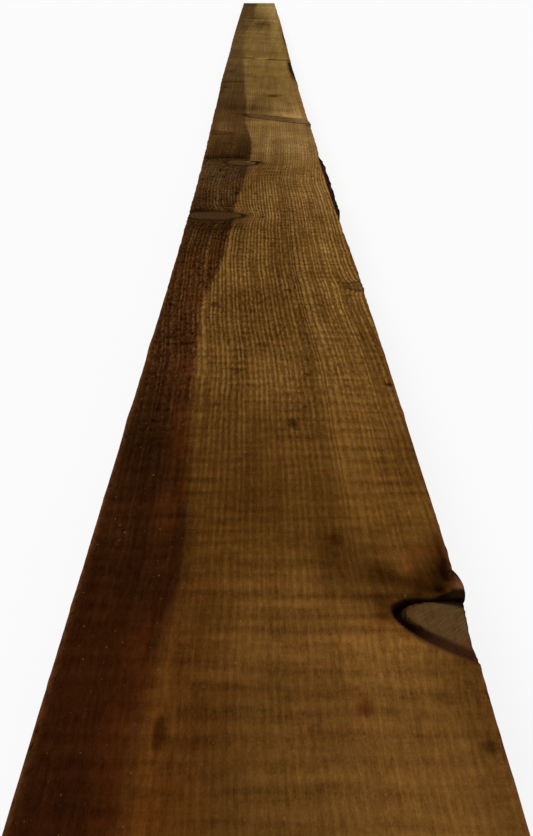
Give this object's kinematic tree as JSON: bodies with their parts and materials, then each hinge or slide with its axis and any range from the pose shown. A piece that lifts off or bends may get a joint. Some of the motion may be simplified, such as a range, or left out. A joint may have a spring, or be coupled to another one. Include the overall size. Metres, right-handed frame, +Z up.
{
  "type": "timber lumber plank",
  "caption": "Long rough-sawn softwood plank of rectangular section, with knots, a proud bark-side edge and stretches of wane along one upper corner.",
  "frame": {"origin": "centre of the underside of the plank, on the floor it lies on", "axes": "+Y along the plank towards the end that is far away in the picture, +X to the right across its width, +Z up through its thickness"},
  "size_m": [0.155, 4.8, 0.05],
  "materials": {
    "wood": "rough-sawn, dry, unplaned softwood"
  },
  "bodies": {
    "root": {"plank": "wood"}
  },
  "joints": []
}
